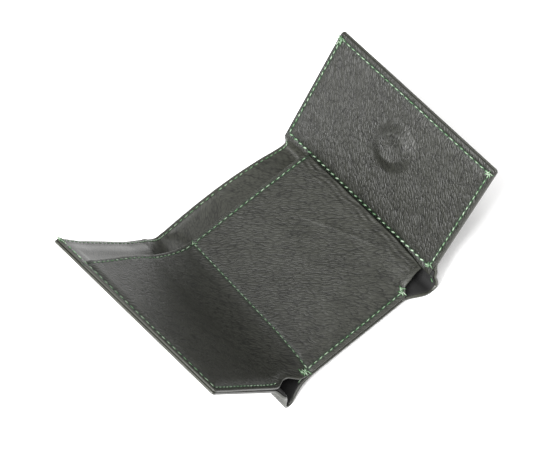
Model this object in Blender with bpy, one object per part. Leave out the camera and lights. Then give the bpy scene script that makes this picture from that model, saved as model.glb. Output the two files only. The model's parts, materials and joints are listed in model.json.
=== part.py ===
"""A trifold leather card holder, standing half open on its two fold loops.

Three panels lie side by side along X and fold about lines parallel to Y. The centre panel is flat, with
its outer face on the plane Z = 0. The left flap folds in first and the right flap closes over it, held by
a magnet. Between the panels the outer leather is longer than the inside, so it hangs in a loop.
"""

import math
from collections import namedtuple

import bmesh
import bpy
from mathutils import Vector
from mathutils.geometry import interpolate_bezier

MM = 0.001

# Driving dimensions
HEIGHT = 97.6 * MM  # along the folds, outer leather
POCKET_HEIGHT = 82.0 * MM  # inner panels, from the sewn bottom edge to the pocket mouth
CENTRE_LEFT = -35.0 * MM  # where the sewn part of the centre panel starts
CENTRE_RIGHT = 22.0 * MM  # where it ends
POCKET_RIGHT = 34.3 * MM  # free end of the inner panels, over the right fold
LEFT_WIDTH = 66.7 * MM
RIGHT_WIDTH = 61.0 * MM

# Leather and board
SHELL = 1.2 * MM
LINING = 0.7 * MM
PANEL = 1.0 * MM
BOARD = 0.8 * MM
LAYER_GAP = 0.3 * MM
MARGIN = 1.0 * MM  # inner layers stop this far inside the outer leather
CORNER = 2.5 * MM

# The stack at the centre panel, and how far it opens towards the pocket mouth
DIVIDER_BOTTOM = SHELL + LINING + 2 * LAYER_GAP
FRONT_BOTTOM = DIVIDER_BOTTOM + LINING + LAYER_GAP
FRONT_RISE = 2.0 * MM
DIVIDER_RISE = 1.8 * MM

# Folds. Each flap turns on a line parallel to Y, given in X and Z. Its foot, where its layers start, is
# foot outwards of that line, and its inner face is drop below it when the flap lies flat.
Fold = namedtuple("Fold", "side, x, z, foot, drop, rest")
LEFT = Fold(-1, -42.3 * MM, 4.6 * MM, 5.8 * MM, 4.0 * MM, math.radians(54.2))
RIGHT = Fold(1, 27.2 * MM, 5.9 * MM, 3.2 * MM, 9.5 * MM, math.radians(56.7))
LOOP_DEPTH = 7.0 * MM  # the outer leather hangs this far below the centre panel at both folds
SOFT_BEND = 8.0 * MM  # the inner panel keeps bending up to here on the left flap

# Closure
MAGNET_RADIUS = 7.5 * MM
MAGNET_THICKNESS = 2.0 * MM
KEEPER_THICKNESS = 1.0 * MM
MAGNET_OUT = 35.0 * MM  # from the right flap's foot
KEEPER_OUT = 25.5 * MM  # from the left flap's foot
MAGNET_Y = -2.2 * MM
BUMP_RISE = 1.3 * MM
BUMP_SLOPE = 3.2 * MM

# Thread
THREAD_RADIUS = 0.3 * MM
SEAM_MARGIN = 3.0 * MM
EDGE_SEAM = 2.0 * MM

BOTTOM = -HEIGHT / 2
TOP = HEIGHT / 2
MOUTH = BOTTOM + POCKET_HEIGHT


def clear_scene():
    for obj in list(bpy.data.objects):
        bpy.data.objects.remove(obj, do_unlink=True)


def material(name, colour, roughness, metallic=0.0):
    made = bpy.data.materials.new(name)
    made.use_nodes = True
    shader = made.node_tree.nodes["Principled BSDF"]
    shader.inputs["Base Color"].default_value = (*colour, 1.0)
    shader.inputs["Roughness"].default_value = roughness
    shader.inputs["Metallic"].default_value = metallic
    return made


def add_object(name, data, finish, parent=None):
    obj = bpy.data.objects.new(name, data)
    bpy.context.scene.collection.objects.link(obj)
    data.materials.append(finish)
    obj.parent = parent
    return obj


def mesh_object(name, bm, finish, parent=None):
    bmesh.ops.recalc_face_normals(bm, faces=bm.faces)
    data = bpy.data.meshes.new(name)
    bm.to_mesh(data)
    bm.free()
    return add_object(name, data, finish, parent)


def slab(name, x, y, z, finish, parent=None, rounded=(), rise=0.0):
    """A flat piece between pairs of X, Y and Z. rounded lists the X ends whose corners are rounded, and
    rise lifts the piece evenly from the lower Y to the higher one."""
    bm = bmesh.new()
    bmesh.ops.create_cube(bm, size=1.0)
    size = Vector((x[1] - x[0], y[1] - y[0], z[1] - z[0]))
    middle = Vector((x[0] + x[1], y[0] + y[1], z[0] + z[1])) / 2
    for vert in bm.verts:
        vert.co = middle + Vector(a * b for a, b in zip(vert.co, size))
    corners = [
        edge
        for edge in bm.edges
        if abs(edge.verts[0].co.z - edge.verts[1].co.z) > size.z / 2
        and any(abs(edge.verts[0].co.x - end) < MM / 10 for end in rounded)
    ]
    if corners:
        bmesh.ops.bevel(bm, geom=corners, offset=CORNER, segments=4, profile=0.5, affect="EDGES")
    for vert in bm.verts:
        vert.co.z += rise * (vert.co.y - y[0]) / size.y
    return mesh_object(name, bm, finish, parent)


def disc(name, centre, radius, z, finish, parent=None, top_radius=None):
    """A round piece between two heights, which may narrow towards its upper face."""
    bm = bmesh.new()
    bmesh.ops.create_cone(
        bm,
        cap_ends=True,
        segments=32,
        radius1=radius,
        radius2=radius if top_radius is None else top_radius,
        depth=z[1] - z[0],
    )
    bmesh.ops.translate(bm, verts=bm.verts, vec=(centre[0], centre[1], (z[0] + z[1]) / 2))
    return mesh_object(name, bm, finish, parent)


def guide(obj):
    """Marks an object that only cuts or joins another."""
    obj.hide_render = True
    obj.display_type = "WIRE"
    return obj


def boolean(obj, tool, operation):
    step = obj.modifiers.new(tool.name, "BOOLEAN")
    step.object = tool
    step.operation = operation
    step.solver = "EXACT"


def smooth_line(knots, steps=7):
    """A smooth line through (X, Z) knots, each with its own tangent."""
    points = []
    knots = [(Vector((p[0], 0, p[1])), Vector((t[0], 0, t[1]))) for p, t in knots]
    for (a, leave), (b, arrive) in zip(knots, knots[1:]):
        points += interpolate_bezier(a, a + leave, b - arrive, b, steps)[:-1]
    points.append(b)
    return points


def band(name, line, thickness, y, finish, offset=(0.0, 0.0)):
    """A leather strip that runs along Y and follows a line in X and Z, thickened to both sides. It is moved
    to the left of the line's direction by the first offset at its start and the second at its end."""
    upper, lower = [], []
    for i, point in enumerate(line):
        along = line[min(i + 1, len(line) - 1)] - line[max(i - 1, 0)]
        across = Vector((-along.z, 0, along.x)).normalized()
        part = i / (len(line) - 1)
        middle = point + across * (offset[0] * (1 - part) + offset[1] * part)
        upper.append(middle + across * thickness / 2)
        lower.append(middle - across * thickness / 2)
    bm = bmesh.new()
    for i in range(len(line) - 1):
        quad = [upper[i], upper[i + 1], lower[i + 1], lower[i]]
        bm.faces.new([bm.verts.new((p.x, y[0], p.z)) for p in quad])
    bmesh.ops.remove_doubles(bm, verts=bm.verts, dist=MM / 1000)
    extruded = bmesh.ops.extrude_face_region(bm, geom=list(bm.faces), use_keep_orig=True)
    moved = [g for g in extruded["geom"] if isinstance(g, bmesh.types.BMVert)]
    bmesh.ops.translate(bm, verts=moved, vec=(0, y[1] - y[0], 0))
    return mesh_object(name, bm, finish)


def thread(name, points, finish, parent=None, closed=False):
    """One seam's thread, lying just above the leather."""
    data = bpy.data.curves.new(name, "CURVE")
    data.dimensions = "3D"
    data.bevel_depth = THREAD_RADIUS
    data.bevel_resolution = 1
    data.use_fill_caps = True
    spline = data.splines.new("POLY")
    spline.points.add(len(points) - 1)
    for spot, co in zip(spline.points, points):
        spot.co = (*co, 1.0)
    spline.use_cyclic_u = closed
    return add_object(name, data, finish, parent)


def hinge(name, fold):
    """The empty that a flap turns on, at its rest angle."""
    empty = bpy.data.objects.new(name, None)
    bpy.context.scene.collection.objects.link(empty)
    empty.location = (fold.x, 0, fold.z)
    empty.rotation_euler = (0, -fold.side * fold.rest, 0)
    return empty


def flap_direction(fold):
    """Where a flap points at rest, in X and Z."""
    return Vector((fold.side * math.cos(fold.rest), math.sin(fold.rest)))


def flap_point(fold, out, depth):
    """A point of a flap at rest, in X and Z, from its distance to the foot and its depth in the stack."""
    along = flap_direction(fold)
    inwards = Vector((-fold.side * along.y, abs(along.x)))
    return Vector((fold.x, fold.z)) + along * (fold.foot + out) - inwards * (fold.drop + depth)


def ordered(a, b):
    return (min(a, b), max(a, b))


def centre_panel(leather, lining, green):
    width = (CENTRE_LEFT, CENTRE_RIGHT)
    slab("centre_shell", width, (BOTTOM, TOP), (0, SHELL), leather)
    slab(
        "centre_lining",
        width,
        (BOTTOM + MARGIN, TOP - MARGIN),
        (SHELL + LAYER_GAP, SHELL + LAYER_GAP + LINING),
        lining,
    )
    pocket = (CENTRE_LEFT, POCKET_RIGHT)
    reach = (BOTTOM + MARGIN, MOUTH)
    slab(
        "card_pocket_back",
        pocket,
        reach,
        (DIVIDER_BOTTOM, DIVIDER_BOTTOM + LINING),
        lining,
        rise=DIVIDER_RISE,
    )
    slab(
        "card_pocket_front",
        pocket,
        reach,
        (FRONT_BOTTOM, FRONT_BOTTOM + PANEL),
        leather,
        rise=FRONT_RISE,
    )

    def on_front(x, y):
        up = FRONT_RISE * (y - reach[0]) / (reach[1] - reach[0])
        return (x, y, FRONT_BOTTOM + PANEL + up + THREAD_RADIUS + LAYER_GAP)

    side = CENTRE_LEFT + EDGE_SEAM
    low, high = BOTTOM + SEAM_MARGIN, MOUTH - EDGE_SEAM
    step = EDGE_SEAM
    thread("thread_centre_bottom", [on_front(side + step, low), on_front(CENTRE_RIGHT - step, low)], green)
    thread("thread_centre_side", [on_front(side, low), on_front(side, high - step)], green)
    thread("thread_pocket_mouth", [on_front(side, high), on_front(POCKET_RIGHT - step, high)], green)
    top = SHELL + LINING + 2 * LAYER_GAP + THREAD_RADIUS
    edge = TOP - SEAM_MARGIN
    thread("thread_centre_top", [(side, edge, top), (CENTRE_RIGHT - step, edge, top)], green)


def left_flap(leather, lining, board, steel, green):
    turn = hinge("left_hinge", LEFT)
    foot, inner = LEFT.foot, -LEFT.drop
    panel = (inner - PANEL, inner)
    skin = (panel[0] - 2 * LAYER_GAP - LINING, panel[0] - 2 * LAYER_GAP)
    core = (skin[0] - LAYER_GAP - KEEPER_THICKNESS, skin[0] - LAYER_GAP)
    shell = (core[0] - LAYER_GAP - SHELL, core[0] - LAYER_GAP)

    def outwards(start, end):
        return ordered(-(foot + start), -(foot + end))

    def at(out, y, up=inner + THREAD_RADIUS + LAYER_GAP):
        return (-(foot + out), y, up)

    far = (-(foot + LEFT_WIDTH),)
    inside = LEFT_WIDTH - MARGIN
    slab("left_shell", outwards(0, LEFT_WIDTH), (BOTTOM, TOP), shell, leather, turn, far)
    reach = (BOTTOM + MARGIN, TOP - MARGIN)
    slab("left_lining", outwards(0, inside), reach, skin, lining, turn)
    slab("left_inner_panel", outwards(SOFT_BEND, inside), (reach[0], MOUTH), panel, leather, turn)
    spot = (-(foot + KEEPER_OUT), MAGNET_Y)
    stiff = slab(
        "left_board",
        outwards(2 * MARGIN, LEFT_WIDTH - 2 * SEAM_MARGIN),
        (BOTTOM + 2 * SEAM_MARGIN, TOP - 2 * SEAM_MARGIN),
        (core[0], core[0] + BOARD),
        board,
        turn,
    )
    hole = (core[0] - MM, core[1] + MM)
    boolean(stiff, guide(disc("left_hole", spot, MAGNET_RADIUS + LAYER_GAP, hole, board, turn)), "DIFFERENCE")
    disc("left_keeper_disc", spot, MAGNET_RADIUS, core, steel, turn)

    edge = LEFT_WIDTH - SEAM_MARGIN
    low, high = BOTTOM + SEAM_MARGIN, TOP - SEAM_MARGIN
    step = EDGE_SEAM
    near = SOFT_BEND + step
    thread("thread_left_edge", [at(near, low), at(edge, low), at(edge, MOUTH - 2 * step)], green, turn)
    thread("thread_left_mouth", [at(near, MOUTH - step), at(edge, MOUTH - step)], green, turn)
    lower = skin[1] + THREAD_RADIUS + LAYER_GAP
    run = [at(step, high, lower), at(edge, high, lower), at(edge, MOUTH + step, lower)]
    thread("thread_left_top", run, green, turn)


def right_flap(leather, board, steel, green):
    turn = hinge("right_hinge", RIGHT)
    foot, inner = RIGHT.foot, -RIGHT.drop
    panel = (inner - PANEL, inner)
    core = (panel[0] - LAYER_GAP - BOARD, panel[0] - LAYER_GAP)
    shell = (core[0] - LAYER_GAP - SHELL, core[0] - LAYER_GAP)

    def outwards(start, end):
        return ordered(foot + start, foot + end)

    far = (foot + RIGHT_WIDTH,)
    slab("right_shell", outwards(0, RIGHT_WIDTH), (BOTTOM, TOP), shell, leather, turn, far)
    inside = outwards(0, RIGHT_WIDTH - MARGIN)
    reach = (BOTTOM + MARGIN, TOP - MARGIN)
    cover = slab("right_inner_panel", inside, reach, panel, leather, turn)
    spot = (foot + MAGNET_OUT, MAGNET_Y)
    magnet = (core[0], core[0] + MAGNET_THICKNESS)
    bump = disc(
        "magnet_bump",
        spot,
        MAGNET_RADIUS + BUMP_SLOPE,
        (panel[0] + PANEL / 2, inner + BUMP_RISE),
        leather,
        turn,
        MAGNET_RADIUS + PANEL,
    )
    boolean(cover, guide(bump), "UNION")
    seat = (panel[0] - MM, magnet[1] + LAYER_GAP)
    room = disc("magnet_room", spot, MAGNET_RADIUS + LAYER_GAP, seat, leather, turn)
    boolean(cover, guide(room), "DIFFERENCE")
    stiff = slab(
        "right_board",
        outwards(2 * MARGIN, RIGHT_WIDTH - 2 * SEAM_MARGIN),
        (BOTTOM + 2 * SEAM_MARGIN, TOP - 2 * SEAM_MARGIN),
        core,
        board,
        turn,
    )
    hole = (core[0] - MM, core[1] + MM)
    boolean(stiff, guide(disc("right_hole", spot, MAGNET_RADIUS + LAYER_GAP, hole, board, turn)), "DIFFERENCE")
    disc("right_magnet", spot, MAGNET_RADIUS, magnet, steel, turn)

    up = inner + THREAD_RADIUS + LAYER_GAP
    near, edge = foot + EDGE_SEAM, foot + RIGHT_WIDTH - SEAM_MARGIN
    low, high = BOTTOM + SEAM_MARGIN, TOP - EDGE_SEAM
    corners = [(near, low, up), (edge, low, up), (edge, high, up), (near, high, up)]
    thread("thread_right_edge", corners, green, turn, closed=True)


def loop(fold, start, depth):
    """The outer leather's line through a fold: from the centre panel down into the loop, up to the flap."""
    end = flap_point(fold, -LAYER_GAP, depth)
    low = SHELL / 2 - LOOP_DEPTH
    return smooth_line(
        [
            ((start + fold.side * LAYER_GAP, SHELL / 2), (fold.side * 4.0 * MM, -1.2 * MM)),
            ((end.x - fold.side * 4.6 * MM, low), (fold.side * 2.6 * MM, 0)),
            ((end.x - fold.side * 0.6 * MM, low + 3.6 * MM), (fold.side * 0.2 * MM, 1.8 * MM)),
            (end, flap_direction(fold) * 1.6 * MM),
        ]
    )


def folds(leather, lining):
    """The strips between the panels, which change shape as the flaps turn."""
    reach = (BOTTOM, TOP)
    lined = (BOTTOM + MARGIN, TOP - MARGIN)
    apart = SHELL / 2 + LAYER_GAP + LINING / 2
    outer = PANEL + 4 * LAYER_GAP + LINING + KEEPER_THICKNESS + SHELL / 2
    cloth = PANEL + 2 * LAYER_GAP + LINING / 2
    left = loop(LEFT, CENTRE_LEFT, outer)
    band("left_shell_fold", left, SHELL, reach, leather)
    band("left_lining_fold", left, LINING, lined, lining, (-apart, cloth - outer))
    outer = PANEL + 2 * LAYER_GAP + BOARD + SHELL / 2
    right = loop(RIGHT, CENTRE_RIGHT, outer)
    band("right_shell_fold", right, SHELL, reach, leather)
    band("right_lining_fold", right, LINING, lined, lining, (apart, apart))
    start = Vector((CENTRE_LEFT - LAYER_GAP, FRONT_BOTTOM + PANEL + FRONT_RISE / 4))
    end = flap_point(LEFT, SOFT_BEND - LAYER_GAP, PANEL / 2)
    bend = smooth_line([(start, (-6 * MM, 0.6 * MM)), (end, flap_direction(LEFT) * 7 * MM)], 12)
    band("left_inner_fold", bend, PANEL, (lined[0], MOUTH), leather)


def main():
    clear_scene()
    leather = material("leather", (0.072, 0.078, 0.070), 0.5)
    lining = material("lining", (0.060, 0.065, 0.060), 0.6)
    board = material("board", (0.32, 0.25, 0.17), 0.9)
    steel = material("steel", (0.55, 0.56, 0.58), 0.3, 1.0)
    green = material("thread", (0.19, 0.36, 0.18), 0.7)
    centre_panel(leather, lining, green)
    left_flap(leather, lining, board, steel, green)
    right_flap(leather, board, steel, green)
    folds(leather, lining)


main()
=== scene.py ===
# %% [markdown]
# # A trifold card holder in green-stitched leather
#
# The holder stands half open on its two fold loops. The real one is sewn from a few pieces of thin
# leather that are cut flat and then folded, so this lesson works the same way: every piece starts as a
# flat blank, gets its rounded edges while it is flat, and is then laid along the line that the folded
# leather follows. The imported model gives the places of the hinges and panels.

import json
import math
from functools import lru_cache

import bmesh
import bpy
from mathutils import Matrix, Vector
from mathutils.geometry import interpolate_bezier


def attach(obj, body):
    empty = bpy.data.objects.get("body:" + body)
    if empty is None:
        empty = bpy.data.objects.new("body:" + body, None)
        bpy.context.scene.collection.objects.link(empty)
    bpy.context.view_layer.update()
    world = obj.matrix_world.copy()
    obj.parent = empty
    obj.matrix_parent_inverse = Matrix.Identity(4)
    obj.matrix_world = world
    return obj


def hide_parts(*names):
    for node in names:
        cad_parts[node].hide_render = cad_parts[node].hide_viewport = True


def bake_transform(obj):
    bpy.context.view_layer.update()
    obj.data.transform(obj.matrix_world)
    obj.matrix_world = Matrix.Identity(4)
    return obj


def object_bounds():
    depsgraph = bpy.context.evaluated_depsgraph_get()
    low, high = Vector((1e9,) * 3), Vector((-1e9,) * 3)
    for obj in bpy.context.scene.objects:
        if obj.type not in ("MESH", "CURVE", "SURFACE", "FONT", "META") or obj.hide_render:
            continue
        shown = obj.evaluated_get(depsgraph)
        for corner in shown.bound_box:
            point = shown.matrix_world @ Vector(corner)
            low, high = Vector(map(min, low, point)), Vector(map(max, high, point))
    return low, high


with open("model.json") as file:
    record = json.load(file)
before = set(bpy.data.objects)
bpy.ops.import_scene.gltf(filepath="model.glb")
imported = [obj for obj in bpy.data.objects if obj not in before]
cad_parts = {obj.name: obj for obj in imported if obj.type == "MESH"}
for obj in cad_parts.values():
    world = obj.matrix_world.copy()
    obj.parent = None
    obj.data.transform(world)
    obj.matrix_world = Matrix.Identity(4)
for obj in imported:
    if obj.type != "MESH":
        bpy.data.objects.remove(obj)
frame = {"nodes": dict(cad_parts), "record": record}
cad_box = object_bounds()
MM = 0.001
print("box of the model in mm:", [[round(v / MM, 1) for v in corner] for corner in cad_box])

# %% [markdown]
# ## The camera
#
# A long lens from above and from the left of the note compartment keeps the three panels nearly parallel.
# The camera is placed by its azimuth and elevation round a target, at one distance, and is not rolled.
# The plain view transform keeps the thread's green and the white table as they are.

# %% Camera
AZIMUTH, ELEVATION = math.radians(-41.6), math.radians(61.54)
TARGET = Vector((0.15, 14.1, 6.5)) * MM
DISTANCE = 802.1 * MM
towards_camera = Vector(
    (
        math.sin(AZIMUTH) * math.cos(ELEVATION),
        -math.cos(AZIMUTH) * math.cos(ELEVATION),
        math.sin(ELEVATION),
    )
)
lens = bpy.data.cameras.new("camera")
lens.lens = 116.7
lens.sensor_width = 36.0
lens.clip_start = 0.01
camera = bpy.data.objects.new("camera", lens)
bpy.context.scene.collection.objects.link(camera)
camera.location = TARGET + towards_camera * DISTANCE
camera.rotation_euler = (-towards_camera).to_track_quat("-Z", "Y").to_euler()
bpy.context.scene.camera = camera
bpy.context.scene.view_settings.view_transform = "Standard"
print("camera at", [round(v, 3) for v in camera.location])

# %% [markdown]
# ## Floor and light
#
# The holder lies on a plain white table under soft studio light. A key lamp stands low at the left, so it
# shines across the right flap's grain and over the magnet's bump. A wide lamp above lights the table, and
# pale surroundings fill the shadows.


# %% Floor and light
def lamp(name, place, size, power, colour=(1.0, 1.0, 1.0)):
    """A square area lamp that points at the holder."""
    light = bpy.data.lights.new(name, "AREA")
    light.size = size
    light.energy = power
    light.color = colour
    obj = bpy.data.objects.new(name, light)
    bpy.context.scene.collection.objects.link(obj)
    obj.location = place
    obj.rotation_euler = (TARGET - Vector(place)).to_track_quat("-Z", "Y").to_euler()
    return obj


def table_top(height):
    """A plain pale floor at the holder's lowest point."""
    bm = bmesh.new()
    bmesh.ops.create_grid(bm, x_segments=1, y_segments=1, size=3.0)
    bmesh.ops.translate(bm, verts=bm.verts, vec=(0, 0, height))
    data = bpy.data.meshes.new("table_top")
    bm.to_mesh(data)
    bm.free()
    obj = bpy.data.objects.new("table_top", data)
    bpy.context.scene.collection.objects.link(obj)
    paint = bpy.data.materials.new("table_white")
    paint.use_nodes = True
    shader = paint.node_tree.nodes["Principled BSDF"]
    shader.inputs["Base Color"].default_value = (0.92, 0.92, 0.92, 1)
    shader.inputs["Roughness"].default_value = 0.9
    shader.inputs["Specular IOR Level"].default_value = 0.1
    shader.inputs["Emission Color"].default_value = (1.0, 0.98, 1.0, 1)
    shader.inputs["Emission Strength"].default_value = 0.12
    data.materials.append(paint)
    return obj


table_top(cad_box[0].z)
lamp("key", (-1.05, -0.15, 0.75), 0.42, 31.0)
lamp("top", (-0.4, -0.1, 1.5), 1.1, 21.0)
world = bpy.data.worlds.new("studio")
world.use_nodes = True
world.node_tree.nodes["Background"].inputs["Color"].default_value = (1.0, 1.0, 0.985, 1)
world.node_tree.nodes["Background"].inputs["Strength"].default_value = 0.5
bpy.context.scene.world = world

# %% [markdown]
# ## Node groups
#
# Leather has small cells, about a millimetre wide, with narrow creases between them. It was pulled when
# it was tanned, so the cells are drawn out one way and long wavy creases run the same way. Both belong to
# the flat cut, so the pattern reads the piece's UV map, which holds its flat measure in metres and bends
# with the leather. The group puts out a height for the bump, a tone that paints shade into the creases
# and light onto the tops of the grain, and a slow change of tone.


# %% Helpers for node trees
def new_group(name, inputs, outputs):
    """A shader node group with named sockets, and its input and output nodes."""
    tree = bpy.data.node_groups.new(name, "ShaderNodeTree")
    for label, kind, value in inputs:
        socket = tree.interface.new_socket(label, in_out="INPUT", socket_type=kind)
        if value is not None:
            socket.default_value = value
    for label, kind in outputs:
        tree.interface.new_socket(label, in_out="OUTPUT", socket_type=kind)
    return tree, tree.nodes.new("NodeGroupInput"), tree.nodes.new("NodeGroupOutput")


def node(tree, kind, settings=None, **inputs):
    """A node with its settings and with each named input linked or set."""
    made = tree.nodes.new(kind)
    for key, value in (settings or {}).items():
        setattr(made, key, value)
    for key, value in inputs.items():
        label = key.replace("_", " ")
        socket = made.inputs[int(key[1:])] if key[1:].isdigit() else made.inputs[label]
        if isinstance(value, bpy.types.NodeSocket):
            tree.links.new(value, socket)
        else:
            socket.default_value = value
    return made


def sums(tree, operation, a, b=0.0, c=0.0):
    """One Math node, returned as its output."""
    return node(tree, "ShaderNodeMath", {"operation": operation}, i0=a, i1=b, i2=c).outputs[0]


# %% Leather grain group
def grain_group():
    """Drawn-out cells with narrow creases between them, long creases, fine pores and a slow change."""
    tree, given, out = new_group(
        "leather_grain",
        [
            ("Flat", "NodeSocketVector", None),
            ("Cell size", "NodeSocketFloat", 1.1),
            ("Crease", "NodeSocketFloat", 0.5),
            ("Turn", "NodeSocketFloat", 0.4),
            ("Stretch", "NodeSocketFloat", 0.27),
        ],
        [("Height", "NodeSocketFloat"), ("Tone", "NodeSocketFloat"), ("Patch", "NodeSocketFloat")],
    )
    flat = given.outputs["Flat"]
    plane = {"noise_dimensions": "2D"}
    slow = node(tree, "ShaderNodeTexNoise", plane, Vector=flat, Scale=70.0, Detail=1.0).outputs["Color"]
    sway = node(tree, "ShaderNodeVectorMath", {"operation": "SCALE"}, i0=slow, Scale=3.0 * MM)
    swayed = node(tree, "ShaderNodeVectorMath", {"operation": "ADD"}, i0=flat, i1=sway.outputs[0])
    turned = node(tree, "ShaderNodeVectorRotate", {"rotation_type": "Z_AXIS"}, Vector=swayed.outputs[0])
    tree.links.new(given.outputs["Turn"], turned.inputs["Angle"])
    share = node(tree, "ShaderNodeCombineXYZ", X=1.0, Y=given.outputs["Stretch"], Z=1.0).outputs[0]
    stretch = node(tree, "ShaderNodeVectorMath", {"operation": "MULTIPLY"}, i0=turned.outputs[0], i1=share)
    wavy = node(tree, "ShaderNodeTexNoise", plane, Vector=stretch.outputs[0], Scale=420.0, Detail=1.0)
    offset = node(
        tree, "ShaderNodeVectorMath", {"operation": "SCALE"}, i0=wavy.outputs["Color"], Scale=0.9 * MM
    )
    moved = node(
        tree, "ShaderNodeVectorMath", {"operation": "ADD"}, i0=stretch.outputs[0], i1=offset.outputs[0]
    )
    cells = node(
        tree,
        "ShaderNodeTexVoronoi",
        {"feature": "DISTANCE_TO_EDGE", "voronoi_dimensions": "2D"},
        Vector=moved.outputs[0],
        Scale=sums(tree, "DIVIDE", 1000.0, given.outputs["Cell size"]),
    )
    dome = node(tree, "ShaderNodeMapRange", {"interpolation_type": "SMOOTHSTEP"})
    tree.links.new(cells.outputs["Distance"], dome.inputs["Value"])
    dome.inputs["From Max"].default_value = 0.30
    drawn = node(tree, "ShaderNodeMapping", {"vector_type": "POINT"}, Vector=turned.outputs[0])
    drawn.inputs["Scale"].default_value = (1.0, 0.22, 1.0)
    folds = node(
        tree, "ShaderNodeTexNoise", plane, Vector=drawn.outputs[0], Scale=430.0, Detail=2.0, Distortion=0.4
    )
    middle = sums(tree, "ABSOLUTE", sums(tree, "SUBTRACT", folds.outputs["Fac"], 0.5))
    crease = node(tree, "ShaderNodeMapRange", Value=middle)
    crease.inputs["From Max"].default_value = 0.07
    fine = node(tree, "ShaderNodeTexNoise", plane, Vector=flat, Scale=3200.0, Detail=2.0).outputs["Fac"]
    body = sums(tree, "MULTIPLY_ADD", dome.outputs[0], 0.45, sums(tree, "MULTIPLY", fine, 0.08))
    height = sums(tree, "MULTIPLY_ADD", crease.outputs[0], given.outputs["Crease"], body)
    patch = node(tree, "ShaderNodeTexNoise", plane, Vector=flat, Scale=24.0, Detail=2.0).outputs["Fac"]
    tree.links.new(height, out.inputs["Height"])
    # painted shade: the tone is darker in the creases and lighter on the cell tops
    crests = sums(tree, "MULTIPLY", crease.outputs[0], 0.45)
    tone = sums(tree, "MULTIPLY_ADD", dome.outputs[0], 0.35, crests)
    tree.links.new(sums(tree, "ADD", tone, 0.1), out.inputs["Tone"])
    tree.links.new(patch, out.inputs["Patch"])
    return tree


LEATHER_GRAIN = grain_group()
print("grain sockets:", [s.name for s in LEATHER_GRAIN.interface.items_tree])

# %% [markdown]
# A burnished edge isn't rubbed evenly. A second group breaks the edge mark up with noise, so that the
# smoother edge and its painted highlight come through in spots and not as a drawn outline.


# %% Edge wear and highlight group
def wear_and_highlight_group():
    """How much an edge is rubbed smooth and painted with a highlight: the edge mask broken up by noise."""
    tree, given, out = new_group(
        "edge_wear_and_highlight",
        [("Flat", "NodeSocketVector", None), ("Edge", "NodeSocketFloat", 0.0)],
        [("Rubbed_and_highlit", "NodeSocketFloat")],
    )
    spots = node(tree, "ShaderNodeTexNoise", Vector=given.outputs["Flat"], Scale=260.0, Detail=3.0)
    broken = sums(tree, "MULTIPLY_ADD", spots.outputs["Fac"], 0.9, 0.2)
    worn_and_highlit = sums(tree, "MULTIPLY", given.outputs["Edge"], broken)
    clamp = node(tree, "ShaderNodeClamp", Value=worn_and_highlit)
    tree.links.new(clamp.outputs[0], out.inputs["Rubbed_and_highlit"])
    return tree


EDGE_WEAR_AND_HIGHLIGHT = wear_and_highlight_group()
print("groups:", [g.name for g in bpy.data.node_groups])

# %% [markdown]
# ## Materials
#
# The leather is a dark grey-green calf with a soft sheen. Its creases are painted darker as shade, its
# tops lighter, and its cut edges are smooth and painted lighter as a highlight. Three marks painted on
# the pieces steer the rest: rim is 1 on a cut edge, inside is 1 where the lining lies deep in a loop and
# is painted nearly black as shade, and seam is 1 along a row of stitches, where painted shade with a
# green cast darkens the groove. The lining is the same leather, split thinner.


# %% Leather
LEATHER = (0.0290, 0.0300, 0.0240)
PANEL_TONE = tuple(v * 0.8 for v in LEATHER)
FLAP_SHADED_TONE = tuple(v * 0.5 for v in LEATHER)  # painted shade: kept darker to offset the key lamp, which lights this flap most
# painted shade: near black for the lining deep in the loops, where shade falls
LOOP_SHADE_COLOUR = (0.004, 0.004, 0.004)
# painted shade along the seams: the thread's shadow with a green cast
SEAM_SHADE_COLOUR = (0.004, 0.014, 0.005)


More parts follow.
